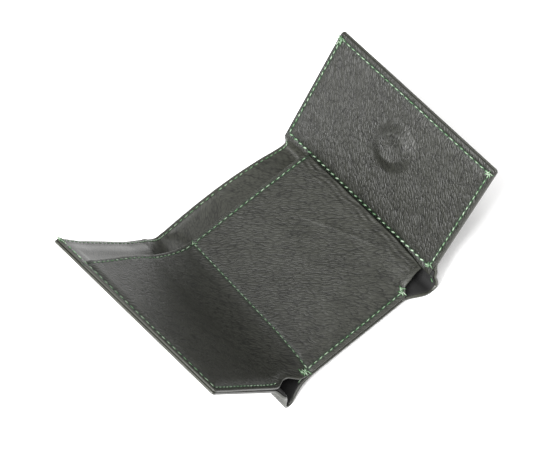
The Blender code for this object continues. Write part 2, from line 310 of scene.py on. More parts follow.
def leather_material(name, base, roughness, cell, crease, turn, depth, sheen, stretch=0.27):
    """Grained leather. Colour and height follow the flat cut; marks smooth the rims and paint their
    highlight, and paint shade along the seams and deep in the loops.
    """
    made = bpy.data.materials.new(name)
    made.use_nodes = True
    tree = made.node_tree
    shader = tree.nodes["Principled BSDF"]
    flat = node(tree, "ShaderNodeUVMap", {"uv_map": "flat"}).outputs[0]
    rim, deep, seam = (
        node(tree, "ShaderNodeAttribute", {"attribute_name": mark}).outputs["Fac"]
        for mark in ("rim", "inside", "seam")
    )
    grain = node(tree, "ShaderNodeGroup", {"node_tree": LEATHER_GRAIN}, Flat=flat)
    grain.inputs["Cell size"].default_value = cell
    grain.inputs["Crease"].default_value = crease
    grain.inputs["Turn"].default_value = turn
    grain.inputs["Stretch"].default_value = stretch
    wear_and_highlight = node(tree, "ShaderNodeGroup", {"node_tree": EDGE_WEAR_AND_HIGHLIGHT}, Flat=flat, Edge=rim)
    # painted shade in the creases and painted light on the grain's tops
    crease_shade_tone = tuple(v * 0.15 for v in base)
    lit_top_tone = tuple(v * 1.5 for v in base)
    ramp = node(tree, "ShaderNodeValToRGB", Fac=grain.outputs["Tone"])
    ramp.color_ramp.elements[0].color = (*crease_shade_tone, 1)
    ramp.color_ramp.elements[1].color = (*lit_top_tone, 1)
    patchy = node(tree, "ShaderNodeHueSaturation", Color=ramp.outputs[0])
    value = sums(tree, "MULTIPLY_ADD", grain.outputs["Patch"], 0.5, 0.75)
    tree.links.new(value, patchy.inputs["Value"])
    # painted highlight: the rims take the lighter top colour, broken up by noise
    rubbed_and_highlit = node(tree, "ShaderNodeMix", {"data_type": "RGBA"})
    tree.links.new(wear_and_highlight.outputs["Rubbed_and_highlit"], rubbed_and_highlit.inputs[0])
    tree.links.new(patchy.outputs[0], rubbed_and_highlit.inputs[6])
    rubbed_and_highlit.inputs[7].default_value = (*lit_top_tone, 1)
    # painted shade: the lining deep in the loops is painted nearly black
    loop_shaded = node(tree, "ShaderNodeMix", {"data_type": "RGBA"})
    tree.links.new(deep, loop_shaded.inputs[0])
    tree.links.new(rubbed_and_highlit.outputs[2], loop_shaded.inputs[6])
    loop_shaded.inputs[7].default_value = (*LOOP_SHADE_COLOUR, 1)
    # painted shade: the groove along each row of stitches is darkened with a green cast
    seam_shaded = node(tree, "ShaderNodeMix", {"data_type": "RGBA"})
    tree.links.new(sums(tree, "MULTIPLY", seam, 0.8), seam_shaded.inputs[0])
    tree.links.new(loop_shaded.outputs[2], seam_shaded.inputs[6])
    seam_shaded.inputs[7].default_value = (*SEAM_SHADE_COLOUR, 1)
    tree.links.new(seam_shaded.outputs[2], shader.inputs["Base Color"])
    rough = sums(tree, "MULTIPLY_ADD", grain.outputs["Patch"], 0.16, roughness - 0.08)
    smoother = sums(tree, "MULTIPLY_ADD", wear_and_highlight.outputs["Rubbed_and_highlit"], -0.08, rough)
    tree.links.new(sums(tree, "MULTIPLY_ADD", deep, 0.5, smoother), shader.inputs["Roughness"])
    flatten = sums(tree, "MULTIPLY_ADD", rim, -0.8, 1.0)
    bump = node(tree, "ShaderNodeBump", Height=sums(tree, "MULTIPLY", grain.outputs["Height"], flatten))
    bump.inputs["Strength"].default_value = 1.0
    bump.inputs["Distance"].default_value = depth
    tree.links.new(bump.outputs[0], shader.inputs["Normal"])
    shader.inputs["Specular IOR Level"].default_value = sheen
    return made


# %% [markdown]
# Four cuts come from this leather. The numbers are the size of the cells in millimetres, how deep the
# long creases are, which way the grain runs on the cut, the height of the grain and the sheen. The outer
# leather keeps a rounder grain, because it was stretched less than the inner pieces, and the lining is
# nearly smooth.

# %% The four leathers
outer_leather = leather_material(
    "outer_leather",
    LEATHER,
    0.42,
    cell=0.9,
    crease=0.05,
    turn=0.3,
    depth=0.12 * MM,
    sheen=0.55,
    stretch=0.62,
)
inner_leather = leather_material(
    "inner_leather", PANEL_TONE, 0.48, cell=1.1, crease=0.36, turn=-0.9, depth=0.17 * MM, sheen=0.5
)
flap_leather = leather_material(
    "flap_leather", FLAP_SHADED_TONE, 0.43, cell=1.0, crease=0.4, turn=1.03, depth=0.21 * MM, sheen=0.35
)
lining_leather = leather_material(
    "lining_leather", LEATHER, 0.42, cell=0.8, crease=0.08, turn=0.8, depth=0.06 * MM, sheen=0.55
)
print("leathers:", [m.name for m in bpy.data.materials if "leather" in m.name])


# %% [markdown]
# ## Thread
#
# The thread is twisted. Each stitch is painted pale on its crown as a highlight, and painted dark green
# at its ends as the shade where it sinks into its holes. A wave along the stitch's own UV map makes the
# twist, and noise from its place in the holder keeps two stitches from being the same.


# %% Thread
def thread_material():
    """Twisted green thread. Each stitch's crown is painted pale as highlight, its ends dark as shade in the
    holes.
    """
    made = bpy.data.materials.new("green_thread")
    made.use_nodes = True
    tree = made.node_tree
    shader = tree.nodes["Principled BSDF"]
    strand = node(tree, "ShaderNodeUVMap", {"uv_map": "flat"}).outputs[0]
    along = node(tree, "ShaderNodeSeparateXYZ", Vector=strand).outputs["X"]
    crown_highlight = node(tree, "ShaderNodeMapRange", {"interpolation_type": "SMOOTHSTEP"})
    tree.links.new(sums(tree, "ABSOLUTE", along), crown_highlight.inputs["Value"])
    crown_highlight.inputs["From Min"].default_value = 0.95
    crown_highlight.inputs["From Max"].default_value = 0.25
    twist = node(
        tree,
        "ShaderNodeTexWave",
        {"wave_type": "BANDS", "bands_direction": "DIAGONAL"},
        Vector=strand,
        Scale=1.1,
        Distortion=0.6,
    )
    place = node(tree, "ShaderNodeTexCoord").outputs["Object"]
    uneven = node(tree, "ShaderNodeTexNoise", Vector=place, Scale=330.0, Detail=1.0).outputs["Fac"]
    shade = sums(tree, "MULTIPLY", twist.outputs["Fac"], 0.2)
    # painted highlight on the crown, painted shade towards the ends
    shade = sums(tree, "MULTIPLY_ADD", crown_highlight.outputs[0], 0.45, shade)
    shade = sums(tree, "MULTIPLY_ADD", uneven, 0.9, sums(tree, "SUBTRACT", shade, 0.28))
    ramp = node(tree, "ShaderNodeValToRGB", Fac=shade)
    ramp.color_ramp.elements[0].color = (0.008, 0.035, 0.010, 1)
    ramp.color_ramp.elements[1].color = (0.46, 0.54, 0.43, 1)
    halfway = ramp.color_ramp.elements.new(0.5)
    halfway.color = (0.065, 0.17, 0.065, 1)
    tree.links.new(ramp.outputs[0], shader.inputs["Base Color"])
    tree.links.new(sums(tree, "MULTIPLY_ADD", uneven, 0.3, 0.3), shader.inputs["Roughness"])
    bump = node(tree, "ShaderNodeBump", Height=twist.outputs["Fac"])
    bump.inputs["Distance"].default_value = 0.08 * MM
    tree.links.new(bump.outputs[0], shader.inputs["Normal"])
    return made


green_thread = thread_material()
print("thread:", green_thread.name)

# %% [markdown]
# ## Steel and board
#
# The magnet and its keeper are plated steel, and the stiffeners are grey-brown fibre board. They are
# hidden in the flaps, so one function with specks in colour, gloss and height serves for both. The
# model's own solids are already the right shape and only get their finish here.


# %% Steel and board
def plain_part_material(name, base, roughness, metallic, scale):
    """A hidden part: fine specks in colour and height from its own place."""
    made = bpy.data.materials.new(name)
    made.use_nodes = True
    tree = made.node_tree
    shader = tree.nodes["Principled BSDF"]
    place = node(tree, "ShaderNodeTexCoord").outputs["Object"]
    specks = node(tree, "ShaderNodeTexNoise", Vector=place, Scale=scale, Detail=4.0)
    ramp = node(tree, "ShaderNodeValToRGB", Fac=specks.outputs["Fac"])
    ramp.color_ramp.elements[0].color = (*(v * 0.7 for v in base), 1)
    ramp.color_ramp.elements[1].color = (*(min(1.0, v * 1.25) for v in base), 1)
    tree.links.new(ramp.outputs[0], shader.inputs["Base Color"])
    rough = sums(tree, "MULTIPLY_ADD", specks.outputs["Fac"], 0.2, roughness - 0.1)
    tree.links.new(rough, shader.inputs["Roughness"])
    bump = node(tree, "ShaderNodeBump", Height=specks.outputs["Fac"])
    bump.inputs["Distance"].default_value = 0.05 * MM
    tree.links.new(bump.outputs[0], shader.inputs["Normal"])
    shader.inputs["Metallic"].default_value = metallic
    return made


plated_steel = plain_part_material("plated_steel", (0.55, 0.56, 0.58), 0.3, 1.0, 900.0)
fibre_board = plain_part_material("fibre_board", (0.32, 0.25, 0.17), 0.9, 0.0, 1500.0)
for name, finish in {
    "right_board": fibre_board,
    "left_keeper_disc": plated_steel,
    "right_magnet": plated_steel,
}.items():
    obj = frame["nodes"][name]
    if not obj.material_slots:
        obj.data.materials.append(finish)
    for place in obj.material_slots:
        place.material = finish
    print(name, "is", finish.name)

# %% [markdown]
# ## Measures
#
# The model's joints say where each flap turns. A flap is described by its foot, where its layers leave
# the fold, and by its angle. The left flap is slightly twisted, with its lower end steeper than its upper
# one, as soft leather is when it stands by itself.

# %% Measures
HEIGHT = 97.6 * MM
TOP, BOTTOM = HEIGHT / 2, -HEIGHT / 2
MOUTH = BOTTOM + 82.0 * MM
CENTRE_LEFT, CENTRE_RIGHT = -35.0 * MM, 22.0 * MM
LEFT_WIDTH, RIGHT_WIDTH = 66.7 * MM, 61.0 * MM
LEFT_FOOT = Vector((-49.0, 0, 7.0)) * MM
RIGHT_FOOT = Vector((36.9, 0, 3.35)) * MM
SHELL = 1.2 * MM
PANEL = 1.0 * MM
LINING = 0.7 * MM
joints = {joint["name"]: joint for joint in frame["record"]["behaviour"]["joints"]}
print("hinges:", {name: joint["pos_m"] for name, joint in joints.items()})


def smooth(value, low, high):
    """0 below low, 1 above high, and a smooth step between."""
    t = min(1.0, max(0.0, (value - low) / (high - low)))
    return t * t * (3 - 2 * t)


RIGHT_ANGLE = math.radians(56.7)


def left_angle(y):
    """The left flap's angle to the floor: the flap is twisted by 2 degrees either way."""
    return math.radians(54.2 - 2.0 * y / TOP)


def flap_frame(side, y):
    """Foot, outward direction and inward normal of a flap at height y, in X and Z."""
    angle = left_angle(y) if side < 0 else RIGHT_ANGLE
    foot = LEFT_FOOT if side < 0 else RIGHT_FOOT
    out = Vector((side * math.cos(angle), 0, math.sin(angle)))
    inward = Vector((-side * math.sin(angle), 0, math.cos(angle)))
    return foot, out, inward


# %% [markdown]
# ## A leather blank
#
# Each piece is cut flat. A grid gives the cut piece, with its lines closer together along the edges,
# where the seams need more detail. It is extruded to the leather's thickness, and the rim is bevelled in
# three steps, as a skived and burnished edge is round. Corners are rounded by drawing the corner square
# in to a quarter circle. The flat measures are kept as the UV map, so that grain follows the leather
# wherever it lies.


# %% Leather blank
def lines(start, end, step, fine=0.45 * MM, border=4.5 * MM, joined=False):
    """Grid lines from start to end: fine near both ends, or near the first only, and step apart between."""
    edge = [0.75 * MM + fine * i for i in range(int((border - 0.75 * MM) / fine) + 1)]
    last = [] if joined else [end - e for e in reversed(edge)]
    middle = (start + edge[-1], end if joined else last[0])
    count = max(1, round((middle[1] - middle[0]) / step))
    inside = [middle[0] + (middle[1] - middle[0]) * i / count for i in range(1, count)]
    return [start] + [start + e for e in edge] + inside + last + [end]


def round_corner(x, y, box, radius, corners):
    """Draws the corner squares of a rectangle in to quarter circles."""
    for sx, sy in corners:
        cx = (box[1] - radius) if sx > 0 else (box[0] + radius)
        cy = (box[3] - radius) if sy > 0 else (box[2] + radius)
        dx, dy = (x - cx) * sx, (y - cy) * sy
        if dx > 0 and dy > 0:
            scale = max(dx, dy) / math.hypot(dx, dy)
            return cx + sx * dx * scale, cy + sy * dy * scale
    return x, y


def leather_blank(columns, rows, thickness, corners=(), radius=1.5 * MM, joined=False):
    """A flat closed blank with round edges. X and Y are the cut, Z runs through the leather. A joined blank
    keeps its right end square, where it meets another one."""
    bm = bmesh.new()
    nx, ny = len(columns) - 1, len(rows) - 1
    bmesh.ops.create_grid(bm, x_segments=nx, y_segments=ny, size=1.0)
    box = (columns[0], columns[-1], rows[0], rows[-1])
    for vert in bm.verts:
        i = round((vert.co.x + 1) / 2 * nx)
        j = round((vert.co.y + 1) / 2 * ny)
        x, y = round_corner(columns[i], rows[j], box, radius, corners)
        vert.co = (x, y, -thickness / 2)
    raised = bmesh.ops.extrude_face_region(bm, geom=list(bm.faces), use_keep_orig=True)
    moved = [g for g in raised["geom"] if isinstance(g, bmesh.types.BMVert)]
    bmesh.ops.translate(bm, verts=moved, vec=(0, 0, thickness))
    bmesh.ops.recalc_face_normals(bm, faces=bm.faces)
    rim = [
        edge
        for edge in bm.edges
        if len(edge.link_faces) == 2
        and edge.link_faces[0].normal.dot(edge.link_faces[1].normal) < 0.5
        and abs(edge.verts[0].co.z - edge.verts[1].co.z) < thickness / 4
        and not (joined and min(v.co.x for v in edge.verts) > box[1] - MM / 10)
    ]
    bmesh.ops.bevel(
        bm, geom=rim, offset=thickness * 0.42, segments=3, profile=0.5, affect="EDGES", material=-1
    )
    flat = bm.loops.layers.uv.new("flat")
    for face in bm.faces:
        face.smooth = True
        for loop in face.loops:
            loop[flat].uv = loop.vert.co.xy
    for edge in bm.edges:
        if joined and min(v.co.x for v in edge.verts) > box[1] - MM / 10:
            edge.smooth = False
    edge_mask = bm.verts.layers.float.new("rim")
    for vert in bm.verts:
        x, y = vert.co.x, vert.co.y
        right = 9.0 if joined else box[1] - x
        near = min(x - box[0], right, y - box[2], box[3] - y)
        vert[edge_mask] = 1.0 - smooth(near, 0.0, 1.6 * MM)
    return bm


def finish_piece(name, bm, finish):
    """Turns a shaped blank into an object at the origin."""
    bmesh.ops.recalc_face_normals(bm, faces=bm.faces)
    data = bpy.data.meshes.new(name)
    bm.to_mesh(data)
    bm.free()
    data.materials.append(finish)
    obj = bpy.data.objects.new(name, data)
    bpy.context.scene.collection.objects.link(obj)
    print(f"{name}: {len(data.polygons)} faces")
    return obj


# %% [markdown]
# ## Laying leather along a line
#
# A laid piece follows a line in X and Z at each height Y. The line has a straight part on the flap, a
# loose part through the fold and a straight part on the centre panel. The loose part is a chain of smooth
# curves. A point of the blank is placed by its distance along the line, its height, and its depth in the
# leather.


# %% Lines that leather follows
def chain(knots, steps=14):
    """Points of a smooth line through knots, each with its own tangent."""
    points = []
    for (a, leave), (b, arrive) in zip(knots, knots[1:]):
        points += interpolate_bezier(a, a + leave, b - arrive, b, steps)[:-1]
    return points + [b]


def measured(points):
    """The points with their distances from the first."""
    far = [0.0]
    for a, b in zip(points, points[1:]):
        far.append(far[-1] + (b - a).length)
    return points, far


def on_line(line, t):
    """Point and direction at a share t of a measured line."""
    points, far = line
    want = t * far[-1]
    i = 1
    while i < len(far) - 1 and far[i] < want:
        i += 1
    part = (want - far[i - 1]) / (far[i] - far[i - 1])
    point = points[i - 1].lerp(points[i], part)
    before = points[i] - points[i - 1]
    after = points[min(i + 1, len(points) - 1)] - points[min(i, len(points) - 2)]
    return point, before.lerp(after, part).normalized()


def xz(x, z):
    """A point or a direction across the folds, given in millimetres."""
    return Vector((x * MM, 0, z * MM))


print("leather enters a fold along", [round(v, 3) for v in -flap_frame(-1, 0.0)[1]])

# %% [markdown]
# ## The loops
#
# On a trifold the outer leather is cut longer than the inside, or the holder couldn't close. When it
# stands open, the spare length hangs below each fold in a loop, and the holder stands on these two loops.
# The left loop hangs deepest at its lower end and is drawn up towards the top. Small helpers say how the
# sewn layers hang between the loops and how far the seams draw the outer leather in.

# %% Loops
SPLIT = -6.5 * MM  # the outer leather is made in two halves that meet here
SHELL_DEPTH = {-1: 4.5 * MM, 1: 3.0 * MM}  # middle of the outer leather below the flap's inner face
HOLLOW_AT = (41.2 * MM, -2.2 * MM)  # from the left flap's outer edge, and along Y
SEAM_IN = 2.6 * MM  # the thread's distance from a cut edge
MOUTH_SEAM_IN = 1.9 * MM  # the same along the pocket's mouth


@lru_cache(maxsize=None)
def shell_loop(side, y):
    """The outer leather through a fold, from the flap's foot to the centre panel."""
    foot, out, inward = flap_frame(side, y)
    up = (y - BOTTOM) / HEIGHT
    start = foot - inward * SHELL_DEPTH[side]
    leave = -out * 1.8 * MM
    if side < 0:
        rise = smooth(up, 0.35, 1.0)
        low = xz(-49.0 + 8.7 * rise, -6.4 + 3.6 * rise)
        turn = xz(-52.2 + 3.0 * rise, -3.2 + 4.8 * rise)
        end = Vector((CENTRE_LEFT, 0, 0.6 * MM + centre_sag(CENTRE_LEFT, y)))
        bend = xz(0.3 + 1.8 * rise, -1.6 - 0.4 * rise)
        knots = [(start, leave), (turn, bend), (low, xz(2.6, 0.4)), (end, xz(3.6, 1.2 - 0.8 * rise))]
    else:
        low = xz(34.6, -6.4)
        turn = xz(38.9 - 0.4 * up, -3.0)
        end = Vector((CENTRE_RIGHT, 0, 0.6 * MM + centre_sag(CENTRE_RIGHT, y)))
        knots = [(start, leave), (turn, xz(-0.4, -1.7)), (low, xz(-3.0, 0.2)), (end, xz(-4.2, 1.2))]
    return measured(chain(knots))


def centre_sag(x, y):
    """The free upper edge of the shell hangs in an arch between the two folds."""
    free = smooth((y - BOTTOM) / HEIGHT, 0.5, 1.0)
    left = max(0.0, SPLIT - x) / (SPLIT - CENTRE_LEFT)
    right = max(0.0, x - SPLIT) / (CENTRE_RIGHT - SPLIT)
    return -(0.9 + 2.4 * left**2 + 3.4 * right**1.8) * MM * free


def droop(x, y):
    """The sewn lower edge of the centre hangs below the loops' shoulders, most on the right."""
    most = 2.6 + 1.6 * smooth(x, CENTRE_LEFT, 18 * MM) - 1.6 * smooth(x, CENTRE_RIGHT, 34 * MM)
    return -most * MM * (1 - smooth(y - BOTTOM, 0.0, 24 * MM))


def seam_lift(side, s, y):
    """How far the outer leather is drawn in along the sewn edges, where the layers meet."""
    near = min(s, y - BOTTOM, TOP - y)
    if side < 0:
        most = 2.0 * MM - 0.9 * MM * smooth(y, MOUTH, TOP) * smooth(s, 4 * MM, 20 * MM)
        on_flap = most * (1 - smooth(near, 2.0 * MM, 11.0 * MM)) + magnet_hollow(s, y)
    else:
        on_flap = 1.1 * MM * (1 - smooth(near, 2.0 * MM, 6.0 * MM))
    on_centre = 0.2 * MM * (1 - smooth(TOP - y, 2.0 * MM, 6.0 * MM))
    return on_flap, on_centre


def magnet_hollow(s, y):
    """The shallow round hollow that the closed flap's magnet has pressed into the left flap's outside."""
    away = math.hypot(s - HOLLOW_AT[0], y - HOLLOW_AT[1])
    return 0.93 * MM * (1 - smooth(away, 7.2 * MM, 13.0 * MM))


def stitch_groove(distance, at, depth=0.22 * MM, width=0.7 * MM):
    """The shallow groove that a pulled thread makes."""
    return -depth * math.exp(-(((distance - at) / width) ** 2))


LOOP_LENGTH = {side: shell_loop(side, BOTTOM)[1][-1] for side in (-1, 1)}
print("leather in the loops, mm:", {k: round(v / MM, 1) for k, v in LOOP_LENGTH.items()})


# %% [markdown]
# ## The outer leather
#
# The shell is one piece on the real holder. Here it is two halves that meet under the inner panel,
# because each half bends at one hinge. Between the sewn edges it is free, and at both folds it hangs in a
# loop. At the lower end the mouth of each loop is pushed out a little beyond the sewn edge, and the sewn
# layers between the two loops hang down. The upper edge is free and hangs in an arch.


# %% Outer leather
def shell_place(side, s, y, h):
    """Where a point of the shell goes. s runs from the flap's outer edge to the middle of the centre."""
    width = LEFT_WIDTH if side < 0 else RIGHT_WIDTH
    loop = LOOP_LENGTH[side]
    on_flap, on_centre = seam_lift(side, s, y)
    held = 0.4 + 0.6 * smooth(y, MOUTH, TOP)  # the sewn top edge keeps its layers together through the fold
    rounding = 1.7 * MM * smooth(y, MOUTH - 12 * MM, TOP - 4 * MM) if side < 0 else 0.0
    if s < width:
        foot, out, inward = flap_frame(side, y)
        point = foot + out * (width - s) - inward * SHELL_DEPTH[side]
        blend = smooth(width - s, 0.0, 8.0 * MM)
        groove = stitch_groove(min(s, y - BOTTOM, TOP - y), SEAM_IN, 0.2 * MM)
        lift = on_flap * (blend + held * (1 - blend)) + rounding * (1 - smooth(width - s, -6 * MM, 15 * MM))
        point = point + inward * (h + lift - groove * blend)
        reach, most = (9.0 * MM, 1.0) if side < 0 else (4.0 * MM, 0.5)
        flare = most * (1 - smooth(width - s, 0.0, reach))
    elif s < width + loop:
        t = (s - width) / loop
        point, along = on_line(shell_loop(side, y), t)
        normal = Vector((along.z * side, 0, -along.x * side))
        if normal.z < 0 and abs(along.z) < 0.5:
            normal = -normal
        sink = droop(CENTRE_LEFT if side < 0 else CENTRE_RIGHT, y)
        lift = on_flap * held * (1 - smooth(t, 0.0, 0.35)) + (on_centre + sink) * smooth(t, 0.55, 1.0)
        lift += rounding * (1 - smooth(-t * loop, -6 * MM, 15 * MM)) * (1 - smooth(t, 0.2, 0.75))
        point = point + normal * (h + lift)
        flare = 1 - (smooth(t, 0.4, 0.85) if side < 0 else smooth(t, 0.55, 0.98))
        flare *= 1.0 if side < 0 else 0.5 + 0.5 * smooth(t, 0.0, 0.3)
    else:
        x = s - width - loop
        point = Vector((CENTRE_LEFT + x if side < 0 else CENTRE_RIGHT - x, 0, 0.6 * MM))
        groove = stitch_groove(min(y - BOTTOM, TOP - y), SEAM_IN, 0.2 * MM)
        point.z += h + on_centre - groove + centre_sag(point.x, y) + droop(point.x, y)
        flare = 0.0
    push = (3.0 if side < 0 else 4.2) * MM * flare * (1 - smooth(y - BOTTOM, 0.0, 14.0 * MM)) ** 2
    point.y = y - push
    return point


def shell_half(name, side):
    width = LEFT_WIDTH if side < 0 else RIGHT_WIDTH
    centre = SPLIT - CENTRE_LEFT if side < 0 else CENTRE_RIGHT - SPLIT
    length = width + LOOP_LENGTH[side] + centre
    columns = lines(0.0, length, 1.0 * MM, joined=True)
    rows = lines(BOTTOM, TOP, 1.3 * MM)
    bm = leather_blank(columns, rows, SHELL, corners=((-1, -1), (-1, 1)), joined=True)
    for vert in bm.verts:
        s, y, h = vert.co
        vert.co = shell_place(side, s, y, h)
    return finish_piece(name, bm, outer_leather)


left_shell = shell_half("outer_leather_left", -1)
right_shell = shell_half("outer_leather_right", 1)

# %% [markdown]
# ## The lining
#
# The lining faces the note compartment. It lies on the shell, goes through both folds with it and is sewn
# to it along the top edge, so it shows as a smooth strip above the inner panels. It is laid on the
# shell's own place, a lining's thickness inwards, which keeps the two in contact through the loops. On
# the left flap it stands off the shell, and the board lies between them. Past the left loop it has a soft
# standing ridge.


# %% Lining
def lining_place(side, s, y, h):
    """The lining's place: on the shell, on the side of the note compartment."""
    gap = (SHELL + LINING) / 2 + 0.02 * MM
    if side < 0:
        near = min(s, y - BOTTOM, TOP - y)
        on_board = 1 - smooth(s, LEFT_WIDTH - 3 * MM, LEFT_WIDTH + 6 * MM)
        gap += 1.6 * MM * smooth(near, 2.5 * MM, 9.0 * MM) * on_board - magnet_hollow(s, y)
        strip = smooth(y, MOUTH - 12 * MM, MOUTH) * (1 - smooth(y, TOP - 7 * MM, TOP - 3 * MM))
        ridge = s - LEFT_WIDTH - LOOP_LENGTH[-1] - 1.5 * MM + (y - MOUTH) * 0.3
        gap += 0.9 * MM * strip * math.exp(-((ridge / (2.6 * MM)) ** 2))
    return shell_place(side, s, y, h + gap)


def paint_loop_shade(bm):
    """Marks the lining below the pocket mouth, where the material paints the shade deep in the loops."""
    inside = bm.verts.layers.float.new("inside")
    for vert in bm.verts:
        vert[inside] = 1 - smooth(vert.co.y, MOUTH - 12 * MM, MOUTH - 4 * MM)


def lining_half(name, side, start):
    width = LEFT_WIDTH if side < 0 else RIGHT_WIDTH
    centre = SPLIT - CENTRE_LEFT if side < 0 else CENTRE_RIGHT - SPLIT
    length = width + LOOP_LENGTH[side] + centre
    columns = lines(start, length, 1.0 * MM, joined=True)
    rows = lines(BOTTOM + 1.0 * MM, TOP - 0.35 * MM, 1.3 * MM)
    bm = leather_blank(columns, rows, LINING, joined=True)
    paint_loop_shade(bm)
    for vert in bm.verts:
        s, y, h = vert.co
        vert.co = lining_place(side, s, y, h)
    return finish_piece(name, bm, lining_leather)


left_lining = lining_half("lining_left", -1, 0.9 * MM)
right_lining = lining_half("lining_right", 1, RIGHT_WIDTH - 1.0 * MM)

# %% [markdown]
# ## The left stiffener
#
# A thin board keeps the flap flat. It is cut smaller than the flap, so that the seams stay clear of it,
# and it is made here because it has to follow the flap's twist. The right one is flat, and the model's
# own solid serves for it.


# %% Left stiffener board
def stiffener_board():
    """The board follows the left flap's slight twist, between the shell and the lining."""
    columns = lines(2.0 * MM, LEFT_WIDTH - 7.5 * MM, 4.0 * MM, border=2 * MM)
    rows = lines(BOTTOM + 7.5 * MM, TOP - 7.5 * MM, 4.0 * MM, border=2 * MM)
    bm = leather_blank(columns, rows, 0.6 * MM)
    for vert in bm.verts:
        out, y, h = vert.co
        foot, along, inward = flap_frame(-1, y)
        vert.co = foot + along * out - inward * (2.62 * MM - h)
        vert.co.y = y
    return finish_piece("left_stiffener_board", bm, fibre_board)


left_board = stiffener_board()

# %% [markdown]
# ## The inner panel
#
# One leather panel covers the left flap and the centre, lower than the shell. It is sewn along the bottom
# and the side, and down the left of the centre panel. Through the left fold it is loose, so it bends in a
# wide curve and stands off the flap near its mouth, where cards go in. Its right end dips below the other
# flap. Over both loops its lower edge isn't sewn down, and draws up.

# %% Shape of the inner panel
PANEL_RIGHT = 36.4 * MM
BEND_OUT = 15.0 * MM  # the loose bend reaches this far up the flap


def panel_level(x, y):
    """Height of the middle of the panel's leather over the centre."""
    up = smooth(y, BOTTOM + 1.0 * MM, BOTTOM + 30 * MM)
    z = 4.6 * MM + 1.3 * MM * up + droop(x, y)
    sewn_down = 1 - smooth(y - BOTTOM, 1.5 * MM, 9.0 * MM)
    z -= 1.4 * MM * sewn_down * (1 - smooth(x, CENTRE_RIGHT, CENTRE_RIGHT + 5 * MM))
    z -= 0.4 * MM * smooth(x, 28 * MM, PANEL_RIGHT)
    z += 0.5 * MM * math.sin(math.pi * smooth(x, CENTRE_LEFT, 30 * MM)) * up
    return z


def wrinkles(x, y):
    """Soft waves over the pocket, a stretch mark across it and crushed leather along the right fold."""
    u, v = x / MM, y / MM
    waves = 0.10 * math.sin(u / 3.1 + 1.3 * math.sin(v / 7.9)) * math.sin(v / 4.7 + 0.8 * math.sin(u / 5.3))
    across = (u - 13.5) * 0.911 + (v - 7.4) * 0.411
    along = (v - 7.4) * -0.911 + (u - 13.5) * 0.411
    mark = 0.22 * math.exp(-((across / 0.9) ** 2)) * smooth(along, -6, 4) * (1 - smooth(along, 28, 36))
    crushed = math.sin(u * 2.3 + 1.4 * math.sin(v / 2.9)) * (0.6 + 0.4 * math.sin(v / 1.9 + u / 1.3))
    return (waves + mark + 0.16 * crushed * smooth(u, 27.0, 31.5)) * MM


def belly(out, y):
    """How far the loose panel stands off the flap."""
    near_mouth = smooth(y, BOTTOM + 6 * MM, MOUTH)
    over = smooth(out, -6 * MM, 12 * MM) * (1 - smooth(out, 22 * MM, LEFT_WIDTH - 3 * MM))
    return (0.4 + 3.0 * near_mouth**1.5) * MM * over


@lru_cache(maxsize=None)
def panel_bend(y):
    """The panel through the left fold, from the flap to the centre."""
    foot, out, inward = flap_frame(-1, y)
    start = foot + out * BEND_OUT - inward * (PANEL / 2)
    end = Vector((CENTRE_LEFT, 0, panel_level(CENTRE_LEFT, y)))
    return measured(chain([(start, -out * 9 * MM), (end, xz(7.5, -0.3))], 30))


PANEL_BEND = panel_bend(0.0)[1][-1]
PANEL_FLAP = LEFT_WIDTH - BEND_OUT - 0.4 * MM
PANEL_LENGTH = PANEL_FLAP + PANEL_BEND + PANEL_RIGHT - CENTRE_LEFT
print("inner panel, mm: on the flap, in the bend, in all")
print([round(v / MM, 1) for v in (PANEL_FLAP, PANEL_BEND, PANEL_LENGTH)])

# %% [markdown]
# The panel's place is worked out in three stretches: on the flap, through the bend and over the centre.
# At each seam the pulled thread leaves a groove. A mark along the same lines lets the material paint
# the thread's shade, with a green cast, into the groove.


# %% Inner panel
def panel_place(s, y, h):
    """Where a point of the inner panel goes. s runs from the left flap's outer edge to the right end."""
    if s < PANEL_FLAP:
        foot, out, inward = flap_frame(-1, y)
        reach = BEND_OUT + PANEL_FLAP - s
        near = min(s, y - BOTTOM)
        pressed = 1 - smooth(near, 2.0 * MM, 6.5 * MM)
        point = foot + out * reach - inward * (PANEL / 2 + 0.9 * MM * pressed)
        point = point + inward * (h + belly(reach, y) + stitch_groove(near, SEAM_IN))
        point = point + inward * stitch_groove(MOUTH - y, MOUTH_SEAM_IN, 0.2 * MM)
    elif s < PANEL_FLAP + PANEL_BEND:
        t = (s - PANEL_FLAP) / PANEL_BEND
        point, along = on_line(panel_bend(y), t)
        normal = Vector((-along.z, 0, along.x))
        reach = BEND_OUT * (1 - t) - 4 * MM * t
        pressed = 1 - smooth(y - BOTTOM, 2.0 * MM, 6.5 * MM)
        lower = 0.9 * MM * pressed * (1 - smooth(t, 0.3, 0.6))
        point = point + normal * (h + belly(reach, y) * (1 - smooth(t, 0.75, 1.0)) - lower)
        point = point + normal * stitch_groove(MOUTH - y, MOUTH_SEAM_IN, 0.2 * MM)
    else:
        x = CENTRE_LEFT + s - PANEL_FLAP - PANEL_BEND
        free = smooth(x, CENTRE_LEFT, CENTRE_LEFT + 4 * MM) * smooth(y - BOTTOM, 3 * MM, 6 * MM)
        point = Vector((x, 0, panel_level(x, y) + h + wrinkles(x, y) * free))
        point.z += stitch_groove(x - CENTRE_LEFT, divide_at(y), 0.35 * MM)
        point.z += stitch_groove(MOUTH - y, MOUTH_SEAM_IN, 0.2 * MM)
        sewn_down = 1 - smooth(x, CENTRE_RIGHT - 2 * MM, CENTRE_RIGHT)
        point.z += stitch_groove(y - BOTTOM, SEAM_IN) * sewn_down
    point.y = y + 3.2 * MM * loose_edge(s) * (1 - smooth(y - BOTTOM, 0.0, 9.0 * MM))
    return point


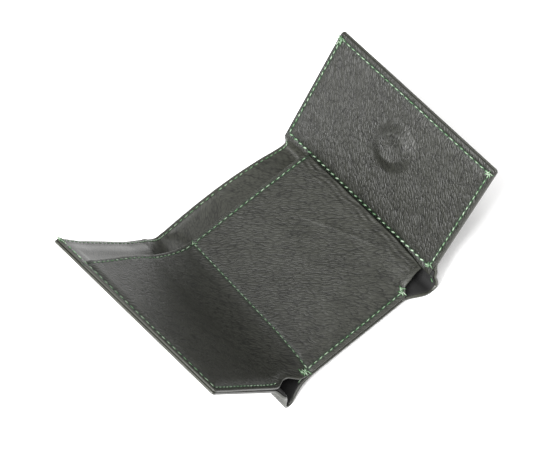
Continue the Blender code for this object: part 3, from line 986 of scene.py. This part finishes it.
def divide_at(y):
    """How far right of the centre's left edge the dividing seam runs: a little more at the mouth."""
    return (0.4 + 1.7 * (y - BOTTOM) / HEIGHT) * MM


def loose_edge(s):
    """1 where the panel's lower edge isn't sewn down and draws up: over both loops."""
    left = smooth(s, PANEL_FLAP + 6 * MM, PANEL_FLAP + 15 * MM)
    left *= 1 - smooth(s, PANEL_FLAP + PANEL_BEND - 11 * MM, PANEL_FLAP + PANEL_BEND - 4 * MM)
    sewn = PANEL_LENGTH - PANEL_RIGHT + CENTRE_RIGHT
    right = 1.05 * smooth(s, sewn, sewn + 3.5 * MM)
    right += 0.4 * smooth(s, sewn + 3.5 * MM, PANEL_LENGTH - 2 * MM)
    return max(left, right)


def mark_seam_shade(bm, distance):
    """Marks the narrow line along a seam where the material paints the thread's shade, with a green cast."""
    seam = bm.verts.layers.float.new("seam")
    for vert in bm.verts:
        vert[seam] = math.exp(-((distance(vert.co.x, vert.co.y) / (0.7 * MM)) ** 2))


def panel_seam(s, y):
    """Distance from the nearest seam of the inner panel, measured flat."""
    x = CENTRE_LEFT + s - PANEL_FLAP - PANEL_BEND
    over_loop = PANEL_FLAP + 8 * MM < s < PANEL_FLAP + PANEL_BEND - 2 * MM or x > CENTRE_RIGHT
    edge_in = s if over_loop else min(s, y - BOTTOM)
    mouth_in = MOUTH - y
    divide_in = x - CENTRE_LEFT - divide_at(y)
    return min(abs(edge_in - SEAM_IN), abs(mouth_in - MOUTH_SEAM_IN), abs(divide_in))


def inner_panel():
    columns = lines(0.0, PANEL_LENGTH, 0.75 * MM)
    rows = lines(BOTTOM + 0.3 * MM, MOUTH, 0.8 * MM)
    bm = leather_blank(columns, rows, PANEL, corners=((-1, -1),))
    mark_seam_shade(bm, panel_seam)
    for vert in bm.verts:
        s, y, h = vert.co
        vert.co = panel_place(s, y, h)
    return finish_piece("inner_panel", bm, inner_leather)


panel = inner_panel()


# %% [markdown]
# ## The pocket divider
#
# Behind the centre part of the panel a piece of lining leather makes a second slip pocket. It lies just
# under the panel and is a little shorter. Its lower right corner is drawn up, so that it doesn't hang in
# the mouth of the right loop.


# %% Pocket divider
def divider_place(s, y, h):
    """The divider lies just under the centre part of the inner panel."""
    x = CENTRE_LEFT + s
    under = 0.9 * MM + 0.5 * MM * smooth(y, BOTTOM + 9 * MM, MOUTH)
    drawn_up = 5.5 * MM * smooth(x, 18 * MM, 22 * MM) * (1 - smooth(y - BOTTOM, 0.0, 16 * MM))
    return Vector((x, y + drawn_up, panel_level(x, y) - under + h))


def pocket_divider():
    columns = lines(0.5 * MM, PANEL_RIGHT - CENTRE_LEFT - 2.5 * MM, 1.6 * MM)
    rows = lines(BOTTOM + 1.2 * MM, MOUTH - 2.0 * MM, 1.6 * MM)
    bm = leather_blank(columns, rows, LINING)
    for vert in bm.verts:
        vert.co = divider_place(*vert.co)
    return finish_piece("pocket_divider", bm, lining_leather)


divider = pocket_divider()

# %% [markdown]
# ## The right flap's inner leather
#
# This piece is sewn on all round. Its outer edge is turned in a smooth band outside the seam. Under it
# sits the magnet, which the leather was pressed over while damp: a flat round top, slightly hollow, with
# a soft slope and a raised lip.

# %% Right flap leather
MAGNET_OUT, MAGNET_Y = 35.0 * MM, HOLLOW_AT[1]
FLAP_SEAM_IN = {"outer": 3.2 * MM, "bottom": 2.4 * MM, "top": 1.9 * MM, "hinge": 1.6 * MM}


def magnet_bump(out, y):
    """Height of the leather over the magnet."""
    away = math.hypot(out - MAGNET_OUT, y - MAGNET_Y)
    slope = 1 - smooth(away, 6.3 * MM, 12.4 * MM)
    hollow = 1 - smooth(away, 0.0, 6.4 * MM)
    lip = math.exp(-(((away - 6.6 * MM) / (1.0 * MM)) ** 2))
    return 2.1 * MM * slope - 0.5 * MM * hollow + 0.18 * MM * lip


def right_seam(out, y):
    """Distances inwards from the four seams of the right flap: outer, bottom, top, hinge."""
    return (
        RIGHT_WIDTH - FLAP_SEAM_IN["outer"] - out,
        y - BOTTOM - FLAP_SEAM_IN["bottom"],
        TOP - FLAP_SEAM_IN["top"] - y,
        out - FLAP_SEAM_IN["hinge"],
    )


def right_panel_place(out, y, h):
    foot, along, inward = flap_frame(1, y)
    inside = min(right_seam(out, y))
    pressed = 1 - smooth(inside, 0.0, 4.5 * MM)
    groove = -0.28 * MM * math.exp(-((inside / (0.65 * MM)) ** 2))
    level = -PANEL / 2 - 0.35 * MM * pressed + groove + magnet_bump(out, y)
    point = foot + along * out + inward * (level + h)
    point.y = y
    return point


def right_inner_panel():
    columns = lines(-1.6 * MM, RIGHT_WIDTH - 0.3 * MM, 0.75 * MM)
    rows = lines(BOTTOM + 0.3 * MM, TOP - 0.3 * MM, 0.8 * MM)
    bm = leather_blank(columns, rows, PANEL, corners=((1, -1), (1, 1)))
    mark_seam_shade(bm, lambda out, y: min(right_seam(out, y)))
    for vert in bm.verts:
        vert.co = right_panel_place(*vert.co)
    return finish_piece("right_flap_leather", bm, flap_leather)


right_panel = right_inner_panel()

# %% [markdown]
# ## Stitches
#
# A sewing machine leaves a row of short straight stitches, each sinking into its holes at both ends. One
# small stitch is made from a sphere that is drawn out and bent down at its ends. Copies of it are set
# along each seam, in the leather's own flat measure, so that they stay on the surface wherever it bends.
# Where a seam begins or ends, and where two meet, the machine sews back over itself, which leaves a small
# heap of thread.

# %% One stitch
STITCH = 3.15 * MM
THREAD = 0.26 * MM


def stitch_shape(length, radius):
    """A drawn-out ball with its ends bent down, lying along X."""
    bm = bmesh.new()
    bmesh.ops.create_uvsphere(bm, u_segments=10, v_segments=8, radius=1.0)
    bmesh.ops.rotate(bm, verts=bm.verts, cent=(0, 0, 0), matrix=Matrix.Rotation(math.pi / 2, 3, "Y"))
    for vert in bm.verts:
        x = vert.co.x
        full = math.sqrt(max(0.0, 1 - abs(x) ** 3.2)) / max(1e-6, math.sqrt(max(1e-6, 1 - x * x)))
        round_part = min(full, 1.6)
        vert.co.y *= radius * round_part
        vert.co.z *= radius * round_part
        vert.co.x = x * length / 2
        vert.co.z -= 0.9 * radius * abs(x) ** 3
    flat = bm.loops.layers.uv.new("flat")
    for face in bm.faces:
        face.smooth = True
        for loop in face.loops:
            angle = math.atan2(loop.vert.co.z, loop.vert.co.y) / math.pi
            loop[flat].uv = (loop.vert.co.x / length * 2, angle)
    data = bpy.data.meshes.new("stitch_shape")
    bm.to_mesh(data)
    bm.free()
    return data


def add_stitch(bm, shape, start, end, up, slant=0.0):
    """Sets one stitch into bm between two surface points."""
    along = (end - start).normalized()
    across = up.cross(along).normalized()
    upright = along.cross(across)
    turn = Matrix((along, across, upright)).transposed().to_4x4()
    turn = Matrix.Translation((start + end) / 2) @ turn @ Matrix.Rotation(slant, 4, "Z")
    before = len(bm.verts)
    bm.from_mesh(shape)
    bm.verts.ensure_lookup_table()
    bmesh.ops.transform(bm, matrix=turn, verts=bm.verts[before:])


stitch = stitch_shape(STITCH, THREAD)
print("one stitch has", len(stitch.polygons), "faces")
bpy.data.meshes.remove(stitch)

# %% [markdown]
# A row starts as the flat line between its corners. Both ends of each stitch are placed on the leather,
# and the stitch is turned to lie between them, square to the surface. Rows guided by hand are a little
# uneven, so three lengths take turns and each stitch is turned by a few degrees.


# %% Rows and tacks
def walk(points, step):
    """Both ends of every stitch along straight runs between corners."""
    spots = []
    for a, b in zip(points, points[1:]):
        count = max(1, round((b - a).length / step))
        spots += [(a.lerp(b, i / count), a.lerp(b, (i + 1) / count)) for i in range(count)]
    return spots


def lay_stitch(bm, shape, place, a, b, surface, radius, slant):
    """One stitch between two flat points, turned to stand on the leather there."""
    start, end = place(a.x, a.y, surface), place(b.x, b.y, surface)
    side = (b - a).normalized().cross(Vector((0, 0, 1))) * (0.5 * MM)
    middle = (a + b) / 2
    centre = place(middle.x, middle.y, surface)
    up = (end - start).cross(place(middle.x + side.x, middle.y + side.y, surface) - centre).normalized()
    if up.dot(place(middle.x, middle.y, surface + 0.3 * MM) - centre) < 0:
        up = -up
    lift = up * radius * 0.45
    add_stitch(bm, shape, start + lift, end + lift, up, slant)


def sew(bm, place, corners, surface, radius=THREAD, step=STITCH, share=0.86, slant=0.06):
    """A row of stitches along flat corners, a little uneven as hand-guided rows are."""
    shapes = [stitch_shape(step * share * size, radius) for size in (1.0, 0.9, 1.06)]
    runs = walk([Vector((x, y, 0)) for x, y in corners], step)
    for i, (a, b) in enumerate(runs):
        uneven = 0.07 * math.sin(2.7 * i)
        lay_stitch(bm, shapes[(i * 5) % 3], place, a, b, surface, radius, slant + uneven)
    for shape in shapes:
        bpy.data.meshes.remove(shape)
    return len(runs)


def tack(bm, place, middle, surface, turns=(1.1, 1.6, 2.0, 0.6, 2.6), length=3.2 * MM, radius=0.22 * MM):
    """Back stitches laid over one another where a seam begins or ends."""
    shape = stitch_shape(length, radius)
    for i, turn in enumerate(turns):
        aim = Vector((math.cos(turn), math.sin(turn), 0)) * (length / 2)
        at = Vector((*middle, 0)) + Vector((math.sin(2.1 * i), math.cos(3.3 * i), 0)) * (0.7 * MM)
        lay_stitch(bm, shape, place, at - aim, at + aim, surface + 0.12 * MM * i, radius, 0.0)
    bpy.data.meshes.remove(shape)
    return len(turns)


def sewn(name, rows, tacks=()):
    """One object that holds several rows of stitches and the tacks at their ends."""
    bm = bmesh.new()
    count = sum(sew(bm, **row) for row in rows) + sum(tack(bm, **spot) for spot in tacks)
    print(f"{name}: {count} stitches")
    return finish_piece(name, bm, green_thread)


# %% [markdown]
# ## Seams
#
# The inner panel is sewn along the flap's lower and outer edges, along its own mouth, down the left of
# the centre and along the lower edge. Over both loops nothing is sewn down, so the outer leather can
# move. The lining has a row along the top, which holds it to the outer leather through both folds.

# %% Seams of the left part
FACE = PANEL / 2
low = BOTTOM + SEAM_IN
high = MOUTH - MOUTH_SEAM_IN
panel_start = PANEL_FLAP + PANEL_BEND
divide_low, divide_high = panel_start + divide_at(low), panel_start + divide_at(high)
sewn_end = panel_start + CENTRE_RIGHT - CENTRE_LEFT
last_on_flap = PANEL_FLAP + 8.0 * MM


def left_lining_place(s, y, h):
    return lining_place(-1, s, y, h)


def right_lining_place(s, y, h):
    return lining_place(1, s, y, h)


def panel_row(*corners, step=STITCH):
    return {"place": panel_place, "corners": corners, "surface": FACE, "step": step}


def panel_tack(s, y, **how):
    return {"place": panel_place, "middle": (s, y), "surface": FACE, **how}


left_seams = sewn(
    "stitches_inner_panel",
    [
        panel_row((last_on_flap, low), (SEAM_IN, low), (SEAM_IN, high + SEAM_IN)),
        panel_row((SEAM_IN + 3 * MM, high), (PANEL_LENGTH - 1.5 * MM, high)),
        panel_row((divide_high, high), (divide_low, low), step=2.7 * MM),
        panel_row((divide_low - 3 * MM, low), (sewn_end, low)),
    ],
    [
        panel_tack(divide_low - 2.6 * MM, BOTTOM + 2.0 * MM),
        panel_tack(divide_low - 1.2 * MM, BOTTOM + 1.6 * MM, turns=(1.3, 1.8, 0.9)),
        panel_tack(divide_low - 3.4 * MM, BOTTOM + 2.6 * MM, turns=(1.5, 2.2)),
        panel_tack(sewn_end, BOTTOM + 2.0 * MM),
        panel_tack(sewn_end + 1.0 * MM, BOTTOM + 3.0 * MM, turns=(1.4, 1.9, 0.8)),
        panel_tack(divide_high, high, turns=(0.8, 2.3), length=2.2 * MM),
    ],
)
half_left = LEFT_WIDTH + LOOP_LENGTH[-1] + SPLIT - CENTRE_LEFT
half_right = RIGHT_WIDTH + LOOP_LENGTH[1] + CENTRE_RIGHT - SPLIT
top_edge = TOP - 2.0 * MM
mouth_edge = BOTTOM + 1.8 * MM
loop_end = LEFT_WIDTH + LOOP_LENGTH[-1]


def lining_row(place, *corners):
    return {"place": place, "corners": corners, "surface": LINING / 2}


left_top_seam = sewn(
    "stitches_top_left",
    [
        lining_row(
            left_lining_place, (SEAM_IN, MOUTH + MM), (SEAM_IN, top_edge), (half_left - 0.8 * MM, top_edge)
        ),
        lining_row(left_lining_place, (loop_end - MM, mouth_edge), (loop_end - 7 * MM, mouth_edge)),
    ],
    [{"place": left_lining_place, "middle": (1.6 * MM, TOP - 1.6 * MM), "surface": LINING / 2}],
)
right_top_seam = sewn(
    "stitches_top_right",
    [
        lining_row(right_lining_place, (RIGHT_WIDTH, top_edge), (half_right - 0.8 * MM, top_edge)),
        lining_row(
            right_lining_place, (RIGHT_WIDTH, BOTTOM + 2 * MM), (RIGHT_WIDTH + 6 * MM, mouth_edge)
        ),
    ],
)

# %% [markdown]
# The right flap's leather is sewn on all round. The row along the fold carries the pull when the flap is
# opened, so its stitches are thicker and lie aslant.

# %% Seams of the right flap
near, far = FLAP_SEAM_IN["hinge"], RIGHT_WIDTH - FLAP_SEAM_IN["outer"]
right_low, right_high = BOTTOM + FLAP_SEAM_IN["bottom"], TOP - FLAP_SEAM_IN["top"]


def flap_tack(out, y, **how):
    return {"place": right_panel_place, "middle": (out, y), "surface": FACE, **how}


right_seams = sewn(
    "stitches_right_flap",
    [
        {
            "place": right_panel_place,
            "corners": [(near, right_low), (far, right_low), (far, right_high), (near, right_high)],
            "surface": FACE,
        },
        {
            "place": right_panel_place,
            "corners": [(near, right_high), (near, right_low)],
            "surface": FACE,
            "radius": 0.36 * MM,
            "slant": 0.35,
            "share": 0.8,
        },
    ],
    [
        flap_tack(far, right_low),
        flap_tack(far, right_high),
        flap_tack(far - 2.5 * MM, right_high, turns=(0.1, 0.4, 2.9), length=2.6 * MM),
        flap_tack(near + 0.6 * MM, right_low, turns=(0.6, 1.2, 2.4)),
    ],
)

# %% [markdown]
# ## Bodies
#
# Pieces that lie on one body are attached to it: the divider to the centre panel, the left board to the
# left flap, and the right flap's leather and stitches to the right flap. Pieces that cross a fold keep
# their place and are attached to no body. The model's own parts that these pieces replace are hidden.

# %% Bodies
for piece in (left_shell, left_lining, left_top_seam, panel, left_seams):
    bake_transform(piece)
for piece in (right_shell, right_lining, right_top_seam):
    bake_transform(piece)
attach(divider, "centre_panel")
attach(left_board, "left_flap")
for piece in (right_panel, right_seams):
    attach(piece, "right_flap")

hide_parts("centre_shell", "left_shell", "left_shell_fold")
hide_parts("right_shell", "right_shell_fold")
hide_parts("centre_lining", "left_lining", "left_lining_fold")
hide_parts("right_lining_fold")
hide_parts("card_pocket_front", "left_inner_panel", "left_inner_fold")
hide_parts("card_pocket_back")
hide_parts("left_board")
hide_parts("right_inner_panel")
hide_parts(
    "thread_centre_bottom",
    "thread_centre_side",
    "thread_pocket_mouth",
    "thread_left_edge",
    "thread_left_mouth",
)
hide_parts("thread_centre_top", "thread_left_top")
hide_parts("thread_right_edge")
